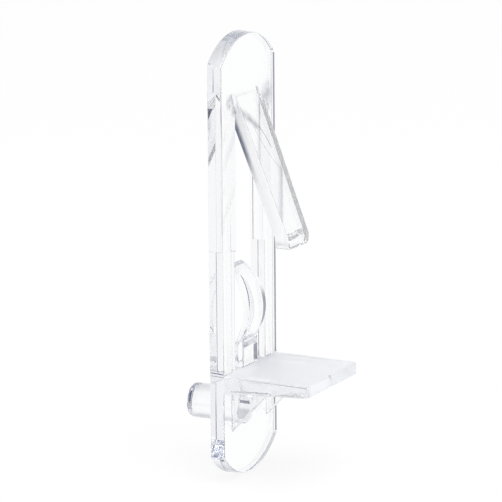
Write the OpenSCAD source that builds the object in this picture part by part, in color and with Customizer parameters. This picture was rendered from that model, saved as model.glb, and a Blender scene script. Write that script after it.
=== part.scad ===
// Shelf support pin, one clear plastic moulding.
// A long backplate with rounded ends lies flat on the cabinet side, and its pin fills a
// 5 mm shelf hole. The shelf end sits on the ledge, held down by the locking tongue above
// and pressed by the bowed leaf in the window behind it.
// X runs across the plate, the shelf lies toward -Y, Z is up.
// Origin: the pin axis where it meets the back of the plate.

/* [Pin] */
// diameter of the pin, for a 5 mm shelf hole
pin_d = 5; // [4:0.1:7]
// length of the pin behind the plate
pin_len = 7.5; // [5:0.1:12]
// chamfer round the end of the pin
pin_chamfer = 0.7; // [0.2:0.1:1.2]

/* [Backplate] */
// width across the front face
plate_w = 15.9; // [13:0.1:20]
// thickness, front face to back face
plate_t = 2.2; // [1.8:0.1:3.5]
// height of the top crown above the pin axis
plate_rise = 53.7; // [46:0.1:66]
// depth of the bottom crown below the pin axis
plate_drop = 9.4; // [8:0.1:14]
// radius of the two curved ends, seen from the front
end_r = 10.3; // [9:0.1:16]
// how much wider the back face is than the front, each side
side_draft = 0.12; // [0:0.02:0.3]
// how much larger the end radius is at the back face
end_draft = 0.2; // [0:0.02:0.4]

/* [Ledge] */
// height of the shelf seat above the pin axis
ledge_top = 6.25; // [5:0.05:9]
// reach of the ledge from the front of the plate
ledge_reach = 13.15; // [10:0.05:18]
// thickness at the front edge
ledge_nose_t = 1.6; // [1.2:0.1:3]
// thickness where it meets the plate
ledge_root_t = 2.5; // [2:0.1:4]
// radius of the two front corners, seen from above
ledge_corner_r = 1; // [0.4:0.1:3]
// width of the gate notch in the front edge
gate_w = 0.5; // [0.3:0.1:1.2]
// depth of the gate notch
gate_depth = 0.4; // [0.2:0.1:0.8]
// place of the gate notch across the ledge
gate_x = -0.9; // [-4:0.1:4]

/* [Ribs] */
// leg of each triangular rib, along the ledge and down the plate
rib_leg = 6; // [4:0.1:9]
// thickness of a rib
rib_t = 0.9; // [0.7:0.1:1.6]
// centre of each rib from the middle of the ledge
rib_x = 5.15; // [3.5:0.05:6.5]

/* [Window] */
// half width of the window at the back face
window_half_back = 4.15; // [3.6:0.05:5]
// half width at the front face, above the parting step
window_half_upper = 3.95; // [3.5:0.05:5]
// half width at the front face, below the parting step
window_half_lower = 4.35; // [3.6:0.05:5.2]
// extra half width at the back face, below the parting step
step_back = 0.05; // [0.05:0.05:0.3]
// clear height from the seat to the underside of the tongue
shelf_gap = 17.8; // [14:0.1:24]
// drop from the underside of the tongue to the parting step
step_drop = 0.6; // [0.2:0.1:2]

/* [Tongue] */
// height over which the tongue leans out, root to underside
tongue_h = 21.2; // [17:0.1:26]
// reach of the tip from the front of the plate
tongue_reach = 7.85; // [5:0.05:11]
// height of the upright nose at the tip
nose_h = 1.4; // [0.8:0.1:3]
// length of the flat underside, front to back
tip_flat = 2.3; // [1.5:0.1:4]
// thickness, measured level from front to back
tongue_t = 2.15; // [1.6:0.05:3]
// gap on each side between the root and the window's upright edge
slot_gap = 0.35; // [0.2:0.05:0.8]
// how far the slots beside the root run above its back edge
slot_over = 0.15; // [0.05:0.05:0.5]
// fall of the slots' top end from the back face to the front face
slot_drop = 2.7; // [0:0.1:4]
// how much each side draws in from the root to the tip
tongue_narrow = 0.6; // [0.2:0.05:1]
// radius of the two tip corners, seen from the front
tip_r = 0.8; // [0.3:0.1:1.5]

/* [Bowed leaf] */
// how far the bow stands in front of the plate
bow_proud = 1.6; // [0.8:0.1:3]
// height above the seat at which the bow leaves the plate front
bow_foot = 4.35; // [3:0.05:7]
// height above the seat of the free top end
leaf_h = 14.7; // [11:0.1:19]
// height above the seat at which the hollow behind starts
hollow_foot = 2.4; // [1.5:0.1:5]
// thickness left at the middle of the bow
bow_t = 1.8; // [1.2:0.1:2.6]
// thickness of the free end, measured up the plate
leaf_tip_t = 1; // [0.6:0.1:1.8]
// half width at the seat
leaf_half_root = 2.3; // [1.6:0.05:3.2]
// half width at the free end
leaf_half_tip = 1.65; // [1.2:0.05:2.6]

/* [Hidden] */
$fn = 96;
front = -plate_t;
ledge_front = front - ledge_reach;
plate_half = plate_w / 2;
back_half = plate_half + side_draft;
crown_z = plate_rise - end_r;
keel_z = end_r - plate_drop;
tongue_low = ledge_top + shelf_gap;
tongue_root = tongue_low + tongue_h;
tongue_tip = front - tongue_reach;
step_z = tongue_low - step_drop;
lean = (tongue_h - nose_h) / tongue_reach;
tip_back = tongue_tip + tip_flat;
// the back of the tongue runs parallel to its front, down to an upright toe
back_root = tongue_root - lean * (front + tongue_t);
toe_z = back_root + lean * tip_back;
tongue_half_root = window_half_upper - slot_gap;
tongue_half_tip = tongue_half_root - tongue_narrow;
leaf_top = ledge_top + leaf_h;
bow_foot_z = ledge_top + bow_foot;
// the bow is one circle through its foot, its crest and the top end at the back face
bow_crest = front - bow_proud;
bow = circle_of([0, leaf_top], [front, bow_foot_z], bow_crest);
// the hollow behind is one circle through its own foot and head and the inner crest
hollow_low = ledge_top + hollow_foot;
hollow_high = leaf_top - leaf_tip_t;
hollow_mid = (hollow_low + hollow_high) / 2;
hollow_half = (hollow_high - hollow_low) / 2;
hollow_sag = -(bow_crest + bow_t);
hollow_r = (hollow_half * hollow_half + hollow_sag * hollow_sag) / (2 * hollow_sag);

// centre and radius of the circle through a and b whose crest lies at y = crest,
// on the same side of the chord as the crest
function circle_of(a, b, crest) =
    let (
        m = (a + b) / 2,
        d = b - a,
        half = norm(d) / 2,
        n = [d[1], -d[0]] / norm(d),
        s = bow_side(m, n, half, crest, -40, 40, 60)
    ) [m[0] + n[0] * s, m[1] + n[1] * s, sqrt(half * half + s * s)];

// distance of the centre from the chord, found by halving
function bow_side(m, n, half, crest, lo, hi, k) =
    let (
        s = (lo + hi) / 2,
        c = m[0] + n[0] * s - sqrt(half * half + s * s)
    ) k == 0 ? s : ((c < crest) == (n[0] > 0) ?
        bow_side(m, n, half, crest, s, hi, k - 1) :
        bow_side(m, n, half, crest, lo, s, k - 1));

// height of the slots' sloping top end at depth y
function slot_end(y) = back_root + slot_over + slot_drop * y / plate_t;

// a profile drawn in (y, z), carried along X from -half to +half
module across(half) {
    rotate([90, 0, 90])
        translate([0, 0, -half])
            linear_extrude(2 * half)
                children();
}

// an outline drawn in (x, z), carried along Y from y0 to y1
module through(y0, y1) {
    translate([0, y1, 0])
        rotate([90, 0, 0])
            linear_extrude(y1 - y0)
                children();
}

// an outline drawn in (x, y), carried up from z0 to z1
module upright(z0, z1) {
    translate([0, 0, z0])
        linear_extrude(z1 - z0)
            children();
}

// one rounded end, its radius growing toward the back face
module end_drum(z) {
    translate([0, 0, z])
        rotate([90, 0, 0])
            cylinder(r1 = end_r + end_draft, r2 = end_r, h = plate_t);
}

module backplate() {
    intersection() {
        upright(-plate_drop - 2, plate_rise + 2)
            polygon([[-plate_half, front], [plate_half, front], [back_half, 0], [-back_half, 0]]);
        union() {
            end_drum(crown_z);
            end_drum(keel_z);
            translate([-end_r, front, keel_z])
                cube([2 * end_r, plate_t, crown_z - keel_z]);
        }
    }
}

// one stretch of the window, drawn from above, with its half widths at the two faces
module opening(half_front, half_back, z0, z1) {
    slope = (half_back - half_front) / plate_t;
    upright(z0, z1)
        polygon([
            [-half_front + slope, front - 1], [half_front - slope, front - 1],
            [half_back + slope, 1], [-half_back - slope, 1]
        ]);
}

module window() {
    opening(window_half_lower, window_half_back + step_back, ledge_top, step_z);
    intersection() {
        opening(window_half_upper, window_half_back, step_z, back_root + 3);
        across(window_half_back + 1)
            polygon([
                [1, step_z - 1], [front - 1, step_z - 1],
                [front - 1, slot_end(front - 1)], [1, slot_end(1)]
            ]);
    }
}

module pin() {
    rotate([-90, 0, 0]) {
        translate([0, 0, -plate_t / 2])
            cylinder(d = pin_d, h = pin_len - pin_chamfer + plate_t / 2);
        translate([0, 0, pin_len - pin_chamfer])
            cylinder(r1 = pin_d / 2, r2 = pin_d / 2 - pin_chamfer, h = pin_chamfer);
    }
}

module ledge() {
    difference() {
        intersection() {
            across(plate_half)
                polygon([
                    [ledge_front, ledge_top], [front + 1, ledge_top],
                    [front + 1, ledge_top - ledge_root_t], [front, ledge_top - ledge_root_t],
                    [ledge_front, ledge_top - ledge_nose_t]
                ]);
            upright(ledge_top - 5, ledge_top + 1)
                ledge_outline();
        }
        translate([gate_x - gate_w / 2, ledge_front - 1, ledge_top - 5])
            cube([gate_w, 1 + gate_depth, 6]);
    }
}

module ledge_outline() {
    inset = plate_half - ledge_corner_r;
    for (s = [-1, 1])
        translate([s * inset, ledge_front + ledge_corner_r])
            circle(r = ledge_corner_r);
    translate([-inset, ledge_front])
        square([2 * inset, ledge_reach + 2]);
    translate([-plate_half, ledge_front + ledge_corner_r])
        square([plate_w, ledge_reach + 2 - ledge_corner_r]);
}

module ribs() {
    under = ledge_top - ledge_root_t;
    rise = (ledge_root_t - ledge_nose_t) / ledge_reach * rib_leg;
    steep = (rib_leg + rise) / rib_leg;
    head = under + rise + steep / 2;
    for (s = [-1, 1])
        translate([s * rib_x, 0, 0])
            across(rib_t / 2)
                polygon([
                    [front + 1, under - rib_leg - steep], [front - rib_leg - 0.5, head],
                    [front + 1, head]
                ]);
}

module tongue() {
    intersection() {
        across(window_half_back)
            polygon([
                [front, tongue_root], [tongue_tip, tongue_low + nose_h],
                [tongue_tip, tongue_low], [tip_back, tongue_low], [tip_back, toe_z],
                [1, back_root + lean], [1, back_root + lean + 1], [3 * front / 4, tongue_root + 1]
            ]);
        through(tongue_tip - 1, 0)
            tongue_outline();
    }
}

// the tongue from the front: it narrows to its tip, whose corners are rounded
module tongue_outline() {
    taper = (tongue_half_root - tongue_half_tip) / tongue_h;
    head_x = tongue_half_root + 4 * taper;
    side_x = tongue_half_tip + taper * tip_r;
    corner_x = side_x - tip_r;
    corner_z = tongue_low + tip_r;
    polygon([
        [-head_x, tongue_root + 4], [head_x, tongue_root + 4], [side_x, corner_z],
        [corner_x, tongue_low], [-corner_x, tongue_low], [-side_x, corner_z]
    ]);
    for (s = [-1, 1])
        translate([s * corner_x, corner_z])
            circle(r = tip_r);
}

// the spring leaf: an upright foot in the plane of the plate, then a bow toward the shelf
module leaf() {
    taper = (leaf_half_root - leaf_half_tip) / leaf_h;
    intersection() {
        across(leaf_half_root + 1)
            leaf_profile();
        through(bow_crest - 1, 1)
            polygon([
                [-leaf_half_root - taper, ledge_top - 1], [leaf_half_root + taper, ledge_top - 1],
                [leaf_half_tip - taper, leaf_top + 1], [-leaf_half_tip + taper, leaf_top + 1]
            ]);
    }
}

module leaf_profile() {
    difference() {
        union() {
            translate([front, ledge_top - 1])
                square([plate_t, bow_foot + 2]);
            intersection() {
                translate([bow[0], bow[1]])
                    circle(r = bow[2]);
                translate([bow_crest - 1, ledge_top - 1])
                    square([-bow_crest + 1, leaf_h + 2]);
            }
        }
        translate([hollow_r - hollow_sag, hollow_mid])
            circle(r = hollow_r);
    }
}

module shelf_pin() {
    color([0.93, 0.95, 0.98, 0.35])
        union() {
            difference() {
                backplate();
                window();
            }
            pin();
            ledge();
            ribs();
            tongue();
            leaf();
        }
}

shelf_pin();
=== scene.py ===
"""Clear shelf support pin: its surfaces, the stage it stands on and the camera.

The file is laid out as an add-on. One operator makes the moulding, one makes the
stage, and the panel in the 3D view's sidebar lists them with their settings.
All lengths are in metres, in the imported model's own frame: the peg's axis is +Y,
+Z is up, and the plate's back face lies on Y = 0.
"""

import math

import bmesh
import bpy
import numpy as np
from bpy.props import (
    FloatProperty,
    FloatVectorProperty,
    IntProperty,
    PointerProperty,
)
from mathutils import Matrix, Vector


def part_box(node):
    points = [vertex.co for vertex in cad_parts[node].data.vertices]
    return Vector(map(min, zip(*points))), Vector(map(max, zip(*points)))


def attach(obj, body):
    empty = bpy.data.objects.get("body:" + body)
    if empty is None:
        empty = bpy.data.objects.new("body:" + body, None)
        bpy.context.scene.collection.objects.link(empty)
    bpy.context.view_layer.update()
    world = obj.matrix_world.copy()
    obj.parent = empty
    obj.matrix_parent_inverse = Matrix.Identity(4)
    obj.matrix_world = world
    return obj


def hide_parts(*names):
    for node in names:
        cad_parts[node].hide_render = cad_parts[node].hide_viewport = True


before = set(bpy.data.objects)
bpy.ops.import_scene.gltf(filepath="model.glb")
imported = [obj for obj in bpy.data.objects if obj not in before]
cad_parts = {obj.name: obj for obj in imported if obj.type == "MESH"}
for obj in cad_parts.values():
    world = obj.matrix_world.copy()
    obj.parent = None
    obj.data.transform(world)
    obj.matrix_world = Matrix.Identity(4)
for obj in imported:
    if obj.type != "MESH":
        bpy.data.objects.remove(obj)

bl_info = {
    "name": "Shelf Support Pin",
    "version": (1, 0, 0),
    "blender": (4, 5, 0),
    "location": "View3D > Sidebar > Shelf Pin",
    "description": "Makes a clear shelf support pin, its stage and its camera",
    "category": "Add Mesh",
}

MM = 0.001
PIN_NODE = "shelf_pin"

# The plate. A wall of it belongs to its rim where the wall's middle lies below the
# low level, above the high one, or past the share of the half width.
PLATE_FRONT = -2.2 * MM
PLATE_SIDE = 7.5 * MM
RIM_LOW = 0.5 * MM
RIM_HIGH = 43.0 * MM
RIM_SHARE = 0.95

# The ledge, the peg's base, and the window with its step, slots and jambs.
LEDGE_BOTTOM = 2.4 * MM
LEDGE_TOP = 6.4 * MM
PEG_BASE = 3.2 * MM
STEP_HEIGHT = 23.45 * MM
SLOT_INSIDE = 3.3 * MM
SLOT_OUTSIDE = 4.4 * MM
SLOT_END = 42.5 * MM
JAMB_INSIDE = 3.75 * MM

# The tongue. Its front comes forward by one for each TONGUE_LEAN that it comes down,
# and its thickness is measured level. The faces of its back lie before the back depth.
TONGUE_ROOT = 45.25 * MM
TONGUE_LOW = 24.05 * MM
TONGUE_TIP = -10.05 * MM
TONGUE_LEAN = 2.522
TONGUE_DEPTH = 2.15 * MM
TONGUE_BACK_DEPTH = -0.2 * MM

# Where the tongue's left side goes from clear to painted shade, in height and in share
# of its half thickness, and where its right side goes from the draft to the root draft.
PAINTED_SHADE_HEIGHT = (32.0 * MM, 38.0 * MM)
PAINTED_SHADE_DEPTH = (0.0, 0.7)
STEEP_HEIGHT = (38.0 * MM, 39.5 * MM)

# Extra cuts in the merged mesh: how far past the ledge, and the height by the root.
CUT_AWAY = 0.8 * MM
ROOT_CUT = 43.6 * MM

# How near counts as the same, and how much a normal faces one way.
SAME_POINT = 0.06 * MM
SKIN = 0.05 * MM
NEAR = 0.15 * MM
FACING = 0.5
MOSTLY_FACING = 0.7
FULLY_FACING = 0.9
FLAT_ANGLE = math.radians(0.5)
CREASE_ANGLE = math.radians(15)

GLOSS, SATIN, WALL, GRAIN, TONGUE_LEFT, TONGUE_RIGHT, TONGUE_BACK, JAMB = range(8)
WHITE = (1.0, 1.0, 1.0, 1.0)

# Noise patterns: repeats per metre, layers of detail, the span of the noise that
# counts, and the share of the whole at each end of that span. Patches swing the
# strength of the painted shade, and the others a roughness. The ripple is relief only.
HAZE = (320.0, 4.0, (0.35, 0.7), (0.4, 2.2))
CLOUD = (420.0, 3.0, (0.3, 0.7), (0.95, 1.05))
DRAG = (1500.0, 3.0, (0.3, 0.7), (0.6, 1.4))
PITS = (2200.0, 3.0, (0.4, 0.62), (0.25, 1.6))
PATCHES = (900.0, 3.0, (0.3, 0.6), (0.55, 1.0))
RIPPLE = (260.0, 1.0)
DRAG_STRETCH = (1.0, 0.25, 1.0)

# Relief in the materials: its height and the strength of its effect. The nodes take
# crowns and leans in units of CROWN_UNIT.
PIT_RELIEF = (0.04 * MM, 0.8)
RIPPLE_RELIEF = (0.006 * MM, 0.35)
DRAG_RELIEF = (0.002 * MM, 0.4)
CROWN_UNIT = 0.1 * MM

# Painted shade by the tongue's root: dark rings and patches that stand in for shade
# seen
# in the clear plastic. In millimetres: across and height of the ring's centre, its
# radius, its width and its strength, then the window that keeps it. A ring is whole
# in the middle share of its window and fades towards the sides.
PAINTED_SHADE_MARKS = (
    ("First Shade Line", (-6.8, 36.15, 7.92, 0.16, 1.0), (-1.7, 1.5, 37.4, 41.4)),
    ("First Shade Patch", (-6.8, 36.15, 7.55, 1.1, 0.7), (-5.4, 0.4, 40.0, 46.0)),
    ("Second Shade Line", (14.07, 44.95, 16.35, 0.18, 0.5), (-2.6, 2.0, 33.6, 42.2)),
    ("Left Shade Patch", (-5.6, 44.6, 0.5, 0.75, 0.5), (-6.8, -4.2, 43.0, 46.2)),
    ("Right Streak", (-40.0, 44.0, 45.9, 0.7, 0.6), (4.6, 7.2, 41.4, 46.4)),
    ("Right Shade Patch", (5.3, 44.2, 0.0, 2.6, 0.9), (3.2, 7.6, 41.0, 47.4)),
    ("Right Spot", (5.6, 42.8, 0.0, 0.75, 1.0), (4.4, 6.8, 41.6, 44.0)),
)
WINDOW_FULL = 0.7

# The camera: where it stands, and its heading from +X, its pitch and its roll in
# degrees. Heading turns towards +Y, pitch is up, and roll lifts the right side.
CAMERA_PLACE = Vector((-391.3161, -213.4192, 123.0706)) * MM
CAMERA_HEADING = 28.3351
CAMERA_PITCH = -12.7207
CAMERA_ROLL = -0.4541
SENSOR_WIDTH = 36.0
CLIP_START = 1.0 * MM

# The surround: rise, as the sine of the height angle, where the ceiling's and the
# ground's shade begins and where it is full.
CEILING_RISE = (0.26, 0.62)
GROUND_RISE = (-0.5, -0.85)

# The flags: heading in degrees from +X towards +Y, rise of the middle, and how far
# they reach across and up: full shade to the first distance, none past the second.
SIDE_FLAG = (153.0, -0.22, (0.24, 0.29), (0.10, 0.20))
REAR_FLAG = (240.0, 0.14, (0.26, 0.45), (0.30, 0.46))

LAMP_PLACE = Vector((-0.25, -0.3, 0.8))
LAMP_SIZE = 0.6
FLOOR_POINTS = 5
LIGHT_BOUNCES = 48

# Nodes are laid out in columns, in the order in which they are made.
COLUMN_NODES = 6
NODE_ROOM = (220, -260)


# ---------------------------------------------------------------- settings


class ShelfPinSettings(bpy.types.PropertyGroup):
    """Edge sizes, surface finish and painted shade of the moulding."""

    edge_radius: FloatProperty(
        name="Edge Radius",
        description="Rounding on the outline of the plate, ledge and peg",
        default=0.2 * MM,
        min=0.0,
        precision=5,
        unit="LENGTH",
    )
    tongue_radius: FloatProperty(
        name="Tongue Radius",
        description="Rounding along the front edges and the nose of the snap tongue",
        default=0.2 * MM,
        min=0.0,
        precision=5,
        unit="LENGTH",
    )
    slot_radius: FloatProperty(
        name="Slot Radius",
        description="Rounding at the slots' ends and at the window's step",
        default=0.03 * MM,
        min=0.0,
        precision=5,
        unit="LENGTH",
    )
    jamb_lean: FloatProperty(
        name="Jamb Lean",
        description="How far the window's upper jambs stand out at their back",
        default=-0.25 * MM,
        precision=6,
        unit="LENGTH",
    )
    tongue_crown: FloatProperty(
        name="Tongue Crown",
        description="How far the middle of the tongue's right side stands out",
        default=0.1 * MM,
        precision=6,
        unit="LENGTH",
    )
    tongue_draft: FloatProperty(
        name="Tongue Draft",
        description="How far the tongue's right side stands out at its back",
        default=0.1 * MM,
        precision=6,
        unit="LENGTH",
    )
    root_draft: FloatProperty(
        name="Root Draft",
        description="How far the right side's back stands out by the tongue's root",
        default=0.2 * MM,
        precision=6,
        unit="LENGTH",
    )
    side_milk: FloatProperty(
        name="Side Milk",
        description="Share of plain scattered light on the tongue's left side",
        default=0.65,
        min=0.0,
        max=1.0,
        subtype="FACTOR",
    )
    back_roughness: FloatProperty(
        name="Back Roughness",
        description="Roughness of the tongue's back",
        default=0.1,
        min=0.0,
        max=1.0,
        subtype="FACTOR",
    )
    # Painted shade: how dark the shade painted on the tongue's left side by its root
    # is.
    root_painted_shade: FloatProperty(
        name="Root Painted Shade",
        description="How dark the painted shade is on the tongue's left side by its root",
        default=0.9,
        min=0.0,
        max=1.0,
        subtype="FACTOR",
    )
    edge_steps: IntProperty(
        name="Edge Steps",
        description="Faces across each rounded edge",
        default=8,
        min=1,
        max=12,
    )
    plastic_tint: FloatVectorProperty(
        name="Plastic Tint",
        description="Colour that a surface passes",
        subtype="COLOR",
        size=4,
        min=0.0,
        max=1.0,
        default=(0.994, 0.996, 0.999, 1.0),
    )
    # Painted shade: the dark navy that the base colour turns to where shade is painted.
    painted_shade_tint: FloatVectorProperty(
        name="Painted Shade Tint",
        description="Colour of the shade painted on the moulding",
        subtype="COLOR",
        size=4,
        min=0.0,
        max=1.0,
        default=(0.07, 0.09, 0.18, 1.0),
    )
    satin_tint: FloatVectorProperty(
        name="Satin Tint",
        description="Colour of the eroded faces of the ledge",
        subtype="COLOR",
        size=4,
        min=0.0,
        max=1.0,
        default=(0.955, 0.972, 1.0, 1.0),
    )
    depth_tint: FloatVectorProperty(
        name="Depth Tint",
        description="Colour that thick plastic turns to",
        subtype="COLOR",
        size=3,
        min=0.0,
        max=1.0,
        default=(0.56, 0.61, 0.74),
    )
    depth_density: FloatProperty(
        name="Depth Density",
        description="How fast thick plastic takes up the depth tint, per metre",
        default=9.0,
        min=0.0,
    )
    index_of_refraction: FloatProperty(
        name="Refraction",
        description="Index of refraction of polycarbonate",
        default=1.586,
        min=1.0,
        max=2.0,
    )
    gloss_roughness: FloatProperty(
        name="Gloss Roughness",
        description="Roughness of the polished faces",
        default=0.008,
        min=0.0,
        max=1.0,
        subtype="FACTOR",
    )
    satin_roughness: FloatProperty(
        name="Satin Roughness",
        description="Roughness of the eroded faces of the ledge",
        default=0.3,
        min=0.0,
        max=1.0,
        subtype="FACTOR",
    )
    satin_milk: FloatProperty(
        name="Satin Milk",
        description="Share of light that the eroded faces scatter like milk glass",
        default=0.5,
        min=0.0,
        max=1.0,
        subtype="FACTOR",
    )
    grain_roughness: FloatProperty(
        name="Grain Roughness",
        description="Roughness of the ledge's sides and the tongue's left side",
        default=0.16,
        min=0.0,
        max=1.0,
        subtype="FACTOR",
    )
    wall_roughness: FloatProperty(
        name="Wall Roughness",
        description="Roughness of the plate's outline and the window's jambs",
        default=0.03,
        min=0.0,
        max=1.0,
        subtype="FACTOR",
    )
    wall_crown: FloatProperty(
        name="Wall Crown",
        description="How far a side wall stands out where the mould's halves meet",
        default=0.015 * MM,
        min=0.0,
        precision=6,
        unit="LENGTH",
    )


class ShelfPinStageSettings(bpy.types.PropertyGroup):
    """Floor, surround, lamp and camera."""

    floor_size: FloatProperty(
        name="Floor Size",
        description="Length of the floor's side",
        default=6.0,
        min=0.5,
        unit="LENGTH",
    )
    floor_colour: FloatVectorProperty(
        name="Floor Colour",
        description="Paper of the floor",
        subtype="COLOR",
        size=4,
        min=0.0,
        max=1.0,
        default=(0.86, 0.86, 0.865, 1.0),
    )
    floor_glow: FloatProperty(
        name="Floor Glow",
        description="Share of plain white in what is seen of the floor",
        default=0.9,
        min=0.0,
        max=1.0,
        subtype="FACTOR",
    )
    shade_colour: FloatVectorProperty(
        name="Shade Colour",
        description="Colour of the surround where it falls into shade",
        subtype="COLOR",
        size=4,
        min=0.0,
        max=1.0,
        default=(0.06, 0.08, 0.15, 1.0),
    )
    ceiling_shade: FloatProperty(
        name="Ceiling Shade",
        description="How dark the surround is overhead",
        default=0.4,
        min=0.0,
        max=1.0,
        subtype="FACTOR",
    )
    ground_shade: FloatProperty(
        name="Ground Shade",
        description="How dark the surround is straight below",
        default=0.25,
        min=0.0,
        max=1.0,
        subtype="FACTOR",
    )
    side_flag_shade: FloatProperty(
        name="Side Flag Shade",
        description="How dark the flag is that outlines the plate's far edge",
        default=0.85,
        min=0.0,
        max=1.0,
        subtype="FACTOR",
    )
    rear_flag_shade: FloatProperty(
        name="Rear Flag Shade",
        description="How dark the flag is that outlines the peg",
        default=1.0,
        min=0.0,
        max=1.0,
        subtype="FACTOR",
    )
    fill_strength: FloatProperty(
        name="Fill",
        description="Strength of the surround's light on the floor",
        default=0.75,
        min=0.0,
    )
    lamp_power: FloatProperty(
        name="Lamp Power",
        description="Power of the overhead softbox",
        default=5.5,
        min=0.0,
        unit="POWER",
    )
    lens: FloatProperty(
        name="Lens",
        description="Focal length of the camera, on a 36 mm sensor",
        default=232.45,
        min=1.0,
        unit="CAMERA",
    )


# ---------------------------------------------------------------- node helpers


def add_node(tree, kind, label, **settings):
    """Adds one named node; settings are the node's own attributes."""
    column, row = divmod(len(tree.nodes), COLUMN_NODES)
    node = tree.nodes.new(kind)
    node.label = label
    node.name = label
    node.location = (column * NODE_ROOM[0], row * NODE_ROOM[1])
    for name, value in settings.items():
        setattr(node, name, value)
    return node


def add_math(tree, operation, label, *values):
    """Adds a Math node; the values are sockets or numbers."""
    node = add_node(tree, "ShaderNodeMath", label, operation=operation)
    for socket, value in zip(node.inputs, values):
        if isinstance(value, (int, float)):
            socket.default_value = value
        else:
            tree.links.new(value, socket)
    return node.outputs["Value"]


def add_range(tree, label, value, source, target, smooth=False):
    """Adds a Map Range node from the source pair to the target pair of numbers."""
    node = add_node(tree, "ShaderNodeMapRange", label)
    if smooth:
        node.interpolation_type = "SMOOTHSTEP"
    tree.links.new(value, node.inputs["Value"])
    node.inputs["From Min"].default_value = source[0]
    node.inputs["From Max"].default_value = source[1]
    node.inputs["To Min"].default_value = target[0]
    node.inputs["To Max"].default_value = target[1]
    return node.outputs["Result"]


def add_noise(tree, label, vector, scale, detail):
    """Adds a Noise Texture on the given coordinates, with its scale per metre."""
    node = add_node(tree, "ShaderNodeTexNoise", label)
    node.inputs["Scale"].default_value = scale
    node.inputs["Detail"].default_value = detail
    tree.links.new(vector, node.inputs["Vector"])
    return node.outputs["Fac"]


def add_swing(tree, label, vector, pattern, whole):
    """A noise, and a value that it swings between two shares of the whole.

    Returns the noise and the value."""
    scale, detail, span, (least, most) = pattern
    noise = add_noise(tree, label, vector, scale, detail)
    value = add_range(
        tree, label + " Range", noise, span, (whole * least, whole * most)
    )
    return noise, value


def add_stretch(tree, label, vector, scale):
    """Adds a Mapping node that stretches a pattern, one factor per axis."""
    node = add_node(tree, "ShaderNodeMapping", label)
    node.inputs["Scale"].default_value = scale
    tree.links.new(vector, node.inputs["Vector"])
    return node.outputs["Vector"]


def add_blend(tree, label, share, first, second):
    """Adds a Mix node that blends two plain colours by the share of the second."""
    node = add_node(tree, "ShaderNodeMix", label, data_type="RGBA")
    named = {socket.identifier: socket for socket in node.inputs}
    named["A_Color"].default_value = first
    named["B_Color"].default_value = second
    tree.links.new(share, named["Factor_Float"])
    return {socket.identifier: socket for socket in node.outputs}["Result_Color"]


def add_bump(tree, label, height, distance, strength=1.0, normal=None):
    """Adds a Bump node; distance is the relief in metres."""
    node = add_node(tree, "ShaderNodeBump", label)
    node.inputs["Distance"].default_value = distance
    node.inputs["Strength"].default_value = strength
    tree.links.new(height, node.inputs["Height"])
    if normal is not None:
        tree.links.new(normal, node.inputs["Normal"])
    return node.outputs["Normal"]


def add_place(tree):
    """Object coordinates, and a node with their three parts."""
    place = add_node(tree, "ShaderNodeTexCoord", "Place").outputs["Object"]
    parts = add_node(tree, "ShaderNodeSeparateXYZ", "Place Parts")
    tree.links.new(place, parts.inputs[0])
    return place, parts.outputs


def add_ring(tree, label, across, high, ring, window):
    """Strength of one ring of painted shade, seen from the front.

    The distance to the ring's centre, less its radius and taken without its sign,
    fades to none over its width. It counts only inside the window of across and
    height, given as their lowest and highest values in millimetres."""
    middle_x, middle_z, radius, width, strength = ring
    squares = []
    for socket, middle in ((across, middle_x), (high, middle_z)):
        shift = add_math(tree, "SUBTRACT", label + " Shift", socket, middle * MM)
        squares.append(add_math(tree, "MULTIPLY", label + " Square", shift, shift))
    total = add_math(tree, "ADD", label + " Sum", *squares)
    distance = add_math(tree, "SQRT", label + " Distance", total)
    off = add_math(tree, "SUBTRACT", label + " Off", distance, radius * MM)
    size = add_math(tree, "ABSOLUTE", label + " Size", off)
    shade_ring = add_range(
        tree, label + " Fade", size, (width * MM, 0.0), (0.0, strength), True
    )
    for socket, low, top in ((across, *window[:2]), (high, *window[2:])):
        spread = (top - low) / 2 * MM
        shift = add_math(
            tree, "SUBTRACT", label + " Window", socket, (low + top) / 2 * MM
        )
        away = add_math(tree, "ABSOLUTE", label + " Away", shift)
        inside = add_range(
            tree,
            label + " Inside",
            away,
            (spread, spread * WINDOW_FULL),
            (0.0, 1.0),
            True,
        )
        shade_ring = add_math(tree, "MULTIPLY", label + " Kept", shade_ring, inside)
    return shade_ring


def add_crown(tree, share, crown, lean):
    """Relief of a side wall, from its share of half the depth: -1 front, 1 back.

    The crown falls off with the square of the share, and the lean grows with it.
    Both are in crown units, and the lean may be a socket."""
    square = add_math(tree, "MULTIPLY", "Squared", share, share)
    curve = add_math(tree, "MULTIPLY", "Crown", square, -crown)
    slope = add_math(tree, "MULTIPLY", "Leaning", share, lean)
    height = add_math(tree, "ADD", "Crown And Lean", curve, slope)
    return add_bump(tree, "Crown Relief", height, CROWN_UNIT)


def add_tongue_share(tree, parts):
    """Depth in the tongue, from -1 at its front to 1 at its back.

    It is measured level from the tongue's leaning front."""
    lean = add_math(tree, "DIVIDE", "Lean", parts["Z"], TONGUE_LEAN)
    level = add_math(tree, "SUBTRACT", "Level", parts["Y"], lean)
    half = TONGUE_DEPTH / 2
    middle = TONGUE_ROOT / TONGUE_LEAN - PLATE_FRONT - half
    depth = add_math(tree, "ADD", "From Middle", level, middle)
    return add_math(tree, "DIVIDE", "Share Of Half", depth, half)


def add_grain(tree, shader, place, rough):
    """Gives a shader coarse spark-eroded grain, in its roughness and its relief."""
    pits, level = add_swing(tree, "Pits", place, PITS, rough)
    tree.links.new(level, shader.inputs["Roughness"])
    relief = add_bump(tree, "Pit Relief", pits, *PIT_RELIEF)
    tree.links.new(relief, shader.inputs["Normal"])


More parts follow.
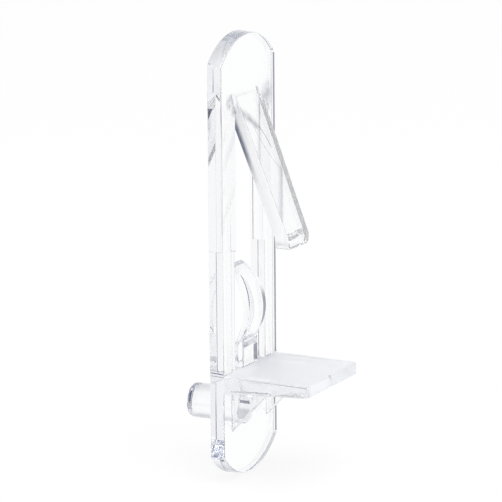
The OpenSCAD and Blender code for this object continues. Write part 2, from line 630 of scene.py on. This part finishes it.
def tint_painted_shade(tree, shader, painted_shade, settings):
    """Paints shade: turns the base colour from the plastic's tint to the shade tint."""
    tinted = add_blend(
        tree, "Tint Or Painted Shade", painted_shade, settings.plastic_tint, settings.painted_shade_tint
    )
    tree.links.new(tinted, shader.inputs["Base Color"])


# ---------------------------------------------------------------- materials


def clear_plastic(name, settings):
    """Makes a see-through plastic with its depth tint.

    Returns the material, its node tree and its surface shader."""
    material = bpy.data.materials.new(name)
    material.use_nodes = True
    tree = material.node_tree
    tree.nodes.clear()
    out = add_node(tree, "ShaderNodeOutputMaterial", "Output")
    shader = add_node(tree, "ShaderNodeBsdfPrincipled", "Plastic")
    shader.inputs["Transmission Weight"].default_value = 1.0
    shader.inputs["IOR"].default_value = settings.index_of_refraction
    shader.inputs["Base Color"].default_value = settings.plastic_tint
    tree.links.new(shader.outputs["BSDF"], out.inputs["Surface"])
    depth = add_node(tree, "ShaderNodeVolumeAbsorption", "Depth")
    depth.inputs["Color"].default_value = (*settings.depth_tint, 1.0)
    depth.inputs["Density"].default_value = settings.depth_density
    tree.links.new(depth.outputs["Volume"], out.inputs["Volume"])
    return material, tree, shader


def make_gloss(settings):
    """Polished faces: a trace of haze, the slow ripple of moulded skin, painted shade.
    """
    material, tree, shader = clear_plastic("polished_clear", settings)
    place, parts = add_place(tree)
    painted_shade = 0.0
    # Painted shade: dark rings and patches by the tongue's root, on the front faces
    # only.
    for label, ring, window in PAINTED_SHADE_MARKS:
        shade_ring = add_ring(tree, label, parts["X"], parts["Z"], ring, window)
        painted_shade = add_math(tree, "MAXIMUM", label + " Added", painted_shade, shade_ring)
    front = add_math(tree, "LESS_THAN", "Front Only", parts["Y"], PLATE_FRONT + NEAR)
    painted_shade = add_math(tree, "MULTIPLY", "Front Painted Shade", painted_shade, front)
    _, patch = add_swing(tree, "Patches", place, PATCHES, 1.0)
    painted_shade = add_math(tree, "MULTIPLY", "Patchy Painted Shade", painted_shade, patch)
    tint_painted_shade(tree, shader, painted_shade, settings)
    _, rough = add_swing(tree, "Haze", place, HAZE, settings.gloss_roughness)
    tree.links.new(rough, shader.inputs["Roughness"])
    ripple = add_noise(tree, "Ripple", place, *RIPPLE)
    relief = add_bump(tree, "Ripple Relief", ripple, *RIPPLE_RELIEF)
    tree.links.new(relief, shader.inputs["Normal"])
    return material


def make_satin(settings):
    """Eroded top and front of the ledge: a cloudy haze and a share of plain milk."""
    material, tree, shader = clear_plastic("satin_clear", settings)
    place, _ = add_place(tree)
    _, rough = add_swing(tree, "Cloud", place, CLOUD, settings.satin_roughness)
    tree.links.new(rough, shader.inputs["Roughness"])
    shader.inputs["Transmission Weight"].default_value = 1.0 - settings.satin_milk
    shader.inputs["Base Color"].default_value = settings.satin_tint
    return material


def make_wall(settings, name, lean):
    """Narrow side walls: fine drag marks along the way the mould opens, and a crown.

    The crown stands highest at the middle of the plate's thickness, where the two
    halves of the mould meet. The lean is how far the wall's back stands out from
    its middle."""
    material, tree, shader = clear_plastic(name, settings)
    place, parts = add_place(tree)
    along = add_stretch(tree, "Along Wall", place, DRAG_STRETCH)
    drag, rough = add_swing(tree, "Drag Marks", along, DRAG, settings.wall_roughness)
    tree.links.new(rough, shader.inputs["Roughness"])
    half = -PLATE_FRONT / 2
    offset = add_math(tree, "ADD", "From Middle", parts["Y"], half)
    share = add_math(tree, "DIVIDE", "Share Of Half", offset, half)
    crown = add_crown(tree, share, settings.wall_crown / CROWN_UNIT, lean / CROWN_UNIT)
    relief = add_bump(tree, "Drag Relief", drag, *DRAG_RELIEF, crown)
    tree.links.new(relief, shader.inputs["Normal"])
    return material


def make_grain(settings):
    """Sides of the ledge: coarse spark-eroded grain that glitters."""
    material, tree, shader = clear_plastic("grained_clear", settings)
    place, _ = add_place(tree)
    add_grain(tree, shader, place, settings.grain_roughness)
    return material


def make_tongue_left(settings):
    """Left side of the tongue: the grain, some milk, and painted shade near the root.

    The painted shade grows towards the tongue's back and towards its root."""
    material, tree, shader = clear_plastic("tongue_left_clear", settings)
    place, parts = add_place(tree)
    shader.inputs["Transmission Weight"].default_value = 1.0 - settings.side_milk
    add_grain(tree, shader, place, settings.grain_roughness)
    # Painted shade on the left side, darkest towards the root and the back.
    share = add_tongue_share(tree, parts)
    near_root = add_range(tree, "By Root", parts["Z"], PAINTED_SHADE_HEIGHT, (0.0, 1.0), True)
    near_back = add_range(tree, "By Back", share, PAINTED_SHADE_DEPTH, (0.0, 1.0), True)
    both = add_math(tree, "MULTIPLY", "Shade Patch", near_root, near_back)
    side_shade = add_math(tree, "MULTIPLY", "Shade Patch Share", both, settings.root_painted_shade)
    tint_painted_shade(tree, shader, side_shade, settings)
    return material


def make_tongue_right(settings):
    """Right side of the tongue: polished, with a crown, and a draft.

    The draft is steeper by the root."""
    material, tree, shader = clear_plastic("tongue_right_clear", settings)
    _, parts = add_place(tree)
    share = add_tongue_share(tree, parts)
    drafts = (settings.tongue_draft / CROWN_UNIT, settings.root_draft / CROWN_UNIT)
    draft = add_range(tree, "Steep By Root", parts["Z"], STEEP_HEIGHT, drafts, True)
    crown = add_crown(tree, share, settings.tongue_crown / CROWN_UNIT, draft)
    tree.links.new(crown, shader.inputs["Normal"])
    return material


def make_tongue_back(settings):
    """Back of the tongue: an even haze, which blurs what lies behind."""
    material, _, shader = clear_plastic("hazy_clear", settings)
    shader.inputs["Roughness"].default_value = settings.back_roughness
    return material


# ---------------------------------------------------------------- moulding


def cut_across(work, height, chosen):
    """Cuts the chosen faces along one level, so that a rounding can end there."""
    faces = [face for face in work.faces if chosen(face)]
    edges = {edge for face in faces for edge in face.edges}
    points = {point for face in faces for point in face.verts}
    bmesh.ops.bisect_plane(
        work,
        geom=[*faces, *edges, *points],
        dist=SAME_POINT,
        plane_co=(0.0, 0.0, height),
        plane_no=(0.0, 0.0, 1.0),
    )


def on_outline(face):
    """Whether a face is the plate's front or one of its outer side walls."""
    middle = face.calc_center_median()
    front = face.normal.y < -FULLY_FACING and abs(middle.y - PLATE_FRONT) < NEAR
    side = abs(face.normal.x) > FULLY_FACING and abs(middle.x) > PLATE_SIDE
    return front or (side and middle.y > PLATE_FRONT)


def merged_copy(source, name):
    """Copies a node's loose triangles into one joined mesh of flat faces.

    Cuts near the ledge and the tongue's root end the roundings there, so that a
    rounding that stops at a corner doesn't taper along a whole side."""
    mesh = bpy.data.meshes.new(name)
    work = bmesh.new()
    work.from_mesh(source.data)
    bmesh.ops.remove_doubles(work, verts=work.verts, dist=SAME_POINT)
    bmesh.ops.dissolve_limit(
        work, angle_limit=FLAT_ANGLE, verts=work.verts, edges=work.edges
    )
    cut_across(work, LEDGE_TOP + CUT_AWAY, on_outline)
    cut_across(work, LEDGE_BOTTOM - CUT_AWAY, on_outline)
    cut_across(work, ROOT_CUT, lambda face: True)
    work.to_mesh(mesh)
    work.free()
    return mesh


def face_arrays(mesh):
    """Centres and normals of all faces, one row each."""
    count = len(mesh.polygons)
    centres = np.empty(count * 3)
    normals = np.empty(count * 3)
    mesh.polygons.foreach_get("center", centres)
    mesh.polygons.foreach_get("normal", normals)
    return centres.reshape(-1, 3), normals.reshape(-1, 3)


def finish_of_faces(mesh):
    """Which finish each face has.

    Satin is on the ledge's top and front, and grain on its sides. Wall is round the
    plate's outline and on the lower jambs. The upper jambs and the tongue's sides
    and back have finishes of their own, and gloss is on the rest."""
    centres, normals = face_arrays(mesh)
    across, depth, high = np.abs(centres[:, 0]), centres[:, 1], centres[:, 2]
    faces_x, faces_y, faces_z = normals.T
    sideways = np.abs(faces_x) > MOSTLY_FACING
    low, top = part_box(PIN_NODE)
    half_width = (top[0] - low[0]) / 2
    on_ledge = (depth < PLATE_FRONT - SKIN) & (high > LEDGE_BOTTOM) & (high < LEDGE_TOP)
    at_outline = (
        (across > half_width * RIM_SHARE) | (high > RIM_HIGH) | (high < RIM_LOW)
    )
    in_plate = (depth > PLATE_FRONT - SKIN) & (depth < SKIN)
    rim = in_plate & (np.abs(faces_y) < FACING) & at_outline
    above_tip = high > TONGUE_LOW - NEAR
    on_tongue = (depth < PLATE_FRONT) & above_tip & ~rim
    backwards = (faces_y > FACING) & (depth < TONGUE_BACK_DEPTH)
    tongue_back = above_tip & (across < SLOT_INSIDE) & backwards
    in_window = (depth > PLATE_FRONT) & (depth < 0) & (high > LEDGE_TOP)
    jamb = sideways & in_window & (across > JAMB_INSIDE) & ~rim
    finish = np.full(len(mesh.polygons), GLOSS)
    finish[rim | (jamb & (high < STEP_HEIGHT))] = WALL
    finish[jamb & (high > STEP_HEIGHT)] = JAMB
    finish[on_ledge & (faces_z > -FACING)] = SATIN
    finish[on_ledge & sideways] = GRAIN
    finish[on_tongue & (faces_x < -MOSTLY_FACING)] = TONGUE_LEFT
    finish[on_tongue & (faces_x > MOSTLY_FACING)] = TONGUE_RIGHT
    finish[tongue_back] = TONGUE_BACK
    return finish


def edge_arrays(mesh):
    """Middle of each edge, and the cosine of the angle between its two faces."""
    _, normals = face_arrays(mesh)
    loop_edge = np.empty(len(mesh.loops), int)
    mesh.loops.foreach_get("edge_index", loop_edge)
    sizes = np.empty(len(mesh.polygons), int)
    mesh.polygons.foreach_get("loop_total", sizes)
    loop_face = np.repeat(np.arange(len(sizes)), sizes)
    order = np.argsort(loop_edge, kind="stable")
    first, second = loop_face[order].reshape(-1, 2).T
    cosine = np.einsum("ij,ij->i", normals[first], normals[second])
    points = np.empty(len(mesh.vertices) * 3)
    mesh.vertices.foreach_get("co", points)
    ends = np.empty(len(mesh.edges) * 2, int)
    mesh.edges.foreach_get("vertices", ends)
    middle = points.reshape(-1, 3)[ends.reshape(-1, 2)].mean(axis=1)
    return middle, cosine


def edge_roundness(mesh, settings):
    """Share of the largest radius that each edge gets, and which edges stay sharp.

    An edge is rounded where its two faces meet at more than the crease angle.
    The tongue's front edges and its nose get the tongue radius, those at the slots'
    ends and at the window's step the slot radius, the peg's base none, and all
    others the edge radius."""
    middle, cosine = edge_arrays(mesh)
    across, depth, high = np.abs(middle[:, 0]), middle[:, 1], middle[:, 2]
    skin = PLATE_FRONT - (TONGUE_ROOT - high) / TONGUE_LEAN
    above_tip = high > TONGUE_LOW - NEAR
    on_skin = above_tip & (high < TONGUE_ROOT - NEAR) & (np.abs(depth - skin) < NEAR)
    on_nose = above_tip & (np.abs(depth - TONGUE_TIP) < NEAR)
    between = (across > SLOT_INSIDE) & (across < SLOT_OUTSIDE)
    at_end = between & (high > SLOT_END) & (high < TONGUE_ROOT + MM)
    at_step = between & (np.abs(high - STEP_HEIGHT) < NEAR)
    radius = np.where(on_skin | on_nose, settings.tongue_radius, settings.edge_radius)
    radius[at_end | at_step] = settings.slot_radius
    largest = max(settings.edge_radius, settings.tongue_radius)
    share = radius / largest
    crease = cosine < math.cos(CREASE_ANGLE)
    peg_base = (np.abs(depth) < SAME_POINT) & (np.hypot(middle[:, 0], high) < PEG_BASE)
    share[~crease | peg_base] = 0.0
    return share, largest, crease & peg_base


class SHELFPIN_OT_make_moulding(bpy.types.Operator):
    """Make the one-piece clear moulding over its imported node"""

    bl_idname = "shelf_pin.make_moulding"
    bl_label = "Make Moulding"
    bl_options = {"REGISTER", "UNDO"}

    def execute(self, context):
        settings = context.scene.shelf_pin
        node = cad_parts.get(PIN_NODE)
        if node is None:
            raise RuntimeError("The packed model has no node " + PIN_NODE)
        mesh = merged_copy(node, "moulding")
        finishes = {
            GLOSS: make_gloss(settings),
            SATIN: make_satin(settings),
            WALL: make_wall(settings, "side_wall_clear", 0.0),
            GRAIN: make_grain(settings),
            TONGUE_LEFT: make_tongue_left(settings),
            TONGUE_RIGHT: make_tongue_right(settings),
            TONGUE_BACK: make_tongue_back(settings),
            JAMB: make_wall(settings, "jamb_clear", settings.jamb_lean),
        }
        for slot in sorted(finishes):
            mesh.materials.append(finishes[slot])
        mesh.polygons.foreach_set(
            "material_index", finish_of_faces(mesh).astype(np.int32)
        )
        mesh.shade_smooth()
        share, largest, sharp = edge_roundness(mesh, settings)
        weight = mesh.attributes.new("bevel_weight_edge", "FLOAT", "EDGE")
        weight.data.foreach_set("value", share.astype(np.float32))
        mesh.edges.foreach_set("use_edge_sharp", sharp)

        moulding = bpy.data.objects.new("moulding", mesh)
        context.scene.collection.objects.link(moulding)
        bevel = moulding.modifiers.new("Rounded Edges", "BEVEL")
        bevel.limit_method = "WEIGHT"
        bevel.width = largest
        bevel.segments = settings.edge_steps
        bevel.miter_outer = "MITER_ARC"
        bevel.use_clamp_overlap = False
        shading = moulding.modifiers.new("Even Shading", "WEIGHTED_NORMAL")
        shading.keep_sharp = True
        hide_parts(PIN_NODE)
        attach(moulding, "root")
        return {"FINISHED"}


# ---------------------------------------------------------------- stage


def make_camera(context, settings):
    """Places the camera from its heading, pitch and roll.

    Ahead points along heading and pitch. Level right is square to it and flat, and
    the roll turns it towards level up, which is square to both."""
    heading = math.radians(CAMERA_HEADING)
    pitch = math.radians(CAMERA_PITCH)
    roll = math.radians(CAMERA_ROLL)
    flat = Vector((math.cos(heading), math.sin(heading), 0.0))
    ahead = flat * math.cos(pitch) + Vector((0.0, 0.0, math.sin(pitch)))
    level_right = Vector((math.sin(heading), -math.cos(heading), 0.0))
    right = level_right * math.cos(roll) + level_right.cross(ahead) * math.sin(roll)
    data = bpy.data.cameras.new("camera")
    data.lens = settings.lens
    data.sensor_width = SENSOR_WIDTH
    data.clip_start = CLIP_START
    camera = bpy.data.objects.new("camera", data)
    turn = Matrix((right, right.cross(ahead), -ahead)).transposed()
    camera.matrix_world = Matrix.Translation(CAMERA_PLACE) @ turn.to_4x4()
    context.scene.collection.objects.link(camera)
    context.scene.camera = camera


def level_square(name, half, height):
    """A level square: x and y run from -half to half on a grid, z is the height."""
    line = np.linspace(-half, half, FLOOR_POINTS)
    u, v = np.meshgrid(line, line)
    points = np.stack([u, v, np.full_like(u, height)], axis=-1).reshape(-1, 3)
    index = np.arange(u.size).reshape(u.shape)
    faces = np.stack(
        [index[:-1, :-1], index[:-1, 1:], index[1:, 1:], index[1:, :-1]], axis=-1
    ).reshape(-1, 4)
    mesh = bpy.data.meshes.new(name)
    mesh.from_pydata(points.tolist(), [], faces.tolist())
    return mesh


def seen_ray(tree):
    """One for rays of the camera, gloss and glass, and nought for stray light."""
    path = add_node(tree, "ShaderNodeLightPath", "Ray Kind").outputs
    first = add_math(
        tree, "MAXIMUM", "Camera Or Gloss", path["Is Camera Ray"], path["Is Glossy Ray"]
    )
    return add_math(tree, "MAXIMUM", "Seen Ray", first, path["Is Transmission Ray"])


def make_floor(context, settings):
    """Pale paper that keeps the soft shadow of the object."""
    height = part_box(PIN_NODE)[0][2]
    floor = bpy.data.objects.new(
        "floor", level_square("floor", settings.floor_size / 2, height)
    )
    material = bpy.data.materials.new("pale_paper")
    material.use_nodes = True
    tree = material.node_tree
    tree.nodes.clear()
    out = add_node(tree, "ShaderNodeOutputMaterial", "Output")
    paper = add_node(tree, "ShaderNodeBsdfDiffuse", "Paper")
    paper.inputs["Color"].default_value = settings.floor_colour
    glow = add_node(tree, "ShaderNodeEmission", "White")
    mix = add_node(tree, "ShaderNodeMixShader", "Paper Or White")
    share = add_math(
        tree, "MULTIPLY", "White Share", seen_ray(tree), settings.floor_glow
    )
    tree.links.new(share, mix.inputs["Fac"])
    tree.links.new(paper.outputs["BSDF"], mix.inputs[1])
    tree.links.new(glow.outputs["Emission"], mix.inputs[2])
    tree.links.new(mix.outputs["Shader"], out.inputs["Surface"])
    floor.data.materials.append(material)
    floor.visible_transmission = False
    floor.visible_glossy = False
    context.scene.collection.objects.link(floor)


def add_dot(tree, label, way, axis):
    """How far a direction points along an axis."""
    dot = add_node(tree, "ShaderNodeVectorMath", label, operation="DOT_PRODUCT")
    dot.inputs[1].default_value = axis
    tree.links.new(way, dot.inputs[0])
    return dot.outputs["Value"]


def flag_shade(tree, label, way, flag, strength):
    """Shade of a soft oblong flag standing in one direction of the surround.

    Its shade is full near its middle and fades to none at its reach, both across
    and up or down: a smooth step of each distance, and their product."""
    heading, rise, reach_across, reach_up = flag
    turn = math.radians(heading)
    ahead = Vector((math.cos(turn), math.sin(turn), 0.0))
    across = Vector((-math.sin(turn), math.cos(turn), 0.0))
    up = Vector((0.0, 0.0, 1.0))
    toward = add_dot(tree, label + " Ahead", way, ahead)
    shade = add_math(tree, "GREATER_THAN", label + " Side", toward, 0.0)
    for part, axis, middle, (full, none) in (
        (" Across", across, 0.0, reach_across),
        (" Up", up, rise, reach_up),
    ):
        along = add_dot(tree, label + part, way, axis)
        shift = add_math(tree, "SUBTRACT", label + " From Middle", along, middle)
        size = add_math(tree, "ABSOLUTE", label + " Distance", shift)
        fade = add_range(tree, label + " Fade", size, (none, full), (0.0, 1.0), True)
        shade = add_math(tree, "MULTIPLY", label + part + " Kept", shade, fade)
    return add_math(tree, "MULTIPLY", label + " Shade", shade, strength)


def add_background(tree, label, strength=1.0):
    """Adds a white Background node."""
    node = add_node(tree, "ShaderNodeBackground", label)
    node.inputs["Color"].default_value = WHITE
    node.inputs["Strength"].default_value = strength
    return node


def mix_light(tree, label, share, first, second):
    """Adds a Mix Shader node and returns it."""
    node = add_node(tree, "ShaderNodeMixShader", label)
    tree.links.new(share, node.inputs["Fac"])
    tree.links.new(first.outputs[0], node.inputs[1])
    tree.links.new(second.outputs[0], node.inputs[2])
    return node


def make_surround(context, settings):
    """White all round at eye level, shaded overhead and below, with two soft flags.

    The camera sees plain white. Gloss and glass see the same white with its shades,
    which draw the edges of clear plastic. Stray light is an even fill."""
    world = bpy.data.worlds.new("surround")
    context.scene.world = world
    world.use_nodes = True
    tree = world.node_tree
    tree.nodes.clear()
    way = add_node(tree, "ShaderNodeTexCoord", "Direction").outputs["Generated"]
    parts = add_node(tree, "ShaderNodeSeparateXYZ", "Direction Parts")
    tree.links.new(way, parts.inputs[0])
    rise = parts.outputs["Z"]
    shade = add_range(
        tree, "Overhead", rise, CEILING_RISE, (0.0, settings.ceiling_shade), True
    )
    below = add_range(
        tree, "Below", rise, GROUND_RISE, (0.0, settings.ground_shade), True
    )
    side = flag_shade(tree, "Side Flag", way, SIDE_FLAG, settings.side_flag_shade)
    rear = flag_shade(tree, "Rear Flag", way, REAR_FLAG, settings.rear_flag_shade)
    for label, other in (("Or Below", below), ("Or Side", side), ("Or Rear", rear)):
        shade = add_math(tree, "MAXIMUM", label, shade, other)
    colour = add_blend(tree, "White Or Shade", shade, WHITE, settings.shade_colour)

    fill = add_background(tree, "Fill", settings.fill_strength)
    shaded = add_background(tree, "Shaded White")
    tree.links.new(colour, shaded.inputs["Color"])
    plain = add_background(tree, "Plain White")
    path = add_node(tree, "ShaderNodeLightPath", "Ray Kind").outputs
    glass = add_math(
        tree,
        "MAXIMUM",
        "Gloss Or Glass",
        path["Is Glossy Ray"],
        path["Is Transmission Ray"],
    )
    light = mix_light(tree, "Fill Or Shaded", glass, fill, shaded)
    light = mix_light(tree, "Or Camera", path["Is Camera Ray"], light, plain)
    out = add_node(tree, "ShaderNodeOutputWorld", "Output")
    tree.links.new(light.outputs["Shader"], out.inputs["Surface"])


def make_lamp(context, settings):
    """A soft square lamp above, a little in front and to the left."""
    data = bpy.data.lights.new("softbox", "AREA")
    data.energy = settings.lamp_power
    data.size = LAMP_SIZE
    lamp = bpy.data.objects.new("softbox", data)
    lamp.location = LAMP_PLACE
    lamp.rotation_mode = "QUATERNION"
    lamp.rotation_quaternion = (-LAMP_PLACE).to_track_quat("-Z", "Y")
    context.scene.collection.objects.link(lamp)


class SHELFPIN_OT_make_stage(bpy.types.Operator):
    """Make the floor, the surround, the softbox and the camera"""

    bl_idname = "shelf_pin.make_stage"
    bl_label = "Make Stage"
    bl_options = {"REGISTER", "UNDO"}

    def execute(self, context):
        scene = context.scene
        settings = scene.shelf_pin_stage
        make_floor(context, settings)
        make_surround(context, settings)
        make_lamp(context, settings)
        make_camera(context, settings)
        scene.view_settings.view_transform = "Standard"
        scene.cycles.max_bounces = LIGHT_BOUNCES
        scene.cycles.transmission_bounces = LIGHT_BOUNCES
        scene.cycles.glossy_bounces = LIGHT_BOUNCES
        return {"FINISHED"}


# ---------------------------------------------------------------- panel and main


class SHELFPIN_PT_sidebar(bpy.types.Panel):
    """Buttons and settings of the shelf support pin"""

    bl_label = "Shelf Support Pin"
    bl_idname = "SHELFPIN_PT_sidebar"
    bl_space_type = "VIEW_3D"
    bl_region_type = "UI"
    bl_category = "Shelf Pin"

    def draw(self, context):
        for title, operator, settings in (
            ("Moulding", "shelf_pin.make_moulding", context.scene.shelf_pin),
            ("Stage", "shelf_pin.make_stage", context.scene.shelf_pin_stage),
        ):
            box = self.layout.box()
            box.label(text=title)
            box.operator(operator)
            for name in settings.__annotations__:
                box.prop(settings, name)


CLASSES = (
    ShelfPinSettings,
    ShelfPinStageSettings,
    SHELFPIN_OT_make_moulding,
    SHELFPIN_OT_make_stage,
    SHELFPIN_PT_sidebar,
)


def register():
    for cls in CLASSES:
        bpy.utils.register_class(cls)
    bpy.types.Scene.shelf_pin = PointerProperty(type=ShelfPinSettings)
    bpy.types.Scene.shelf_pin_stage = PointerProperty(type=ShelfPinStageSettings)


def unregister():
    del bpy.types.Scene.shelf_pin_stage
    del bpy.types.Scene.shelf_pin
    for cls in reversed(CLASSES):
        bpy.utils.unregister_class(cls)


def main():
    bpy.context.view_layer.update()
    register()
    bpy.ops.shelf_pin.make_moulding()
    bpy.ops.shelf_pin.make_stage()


if __name__ == "__main__":
    main()
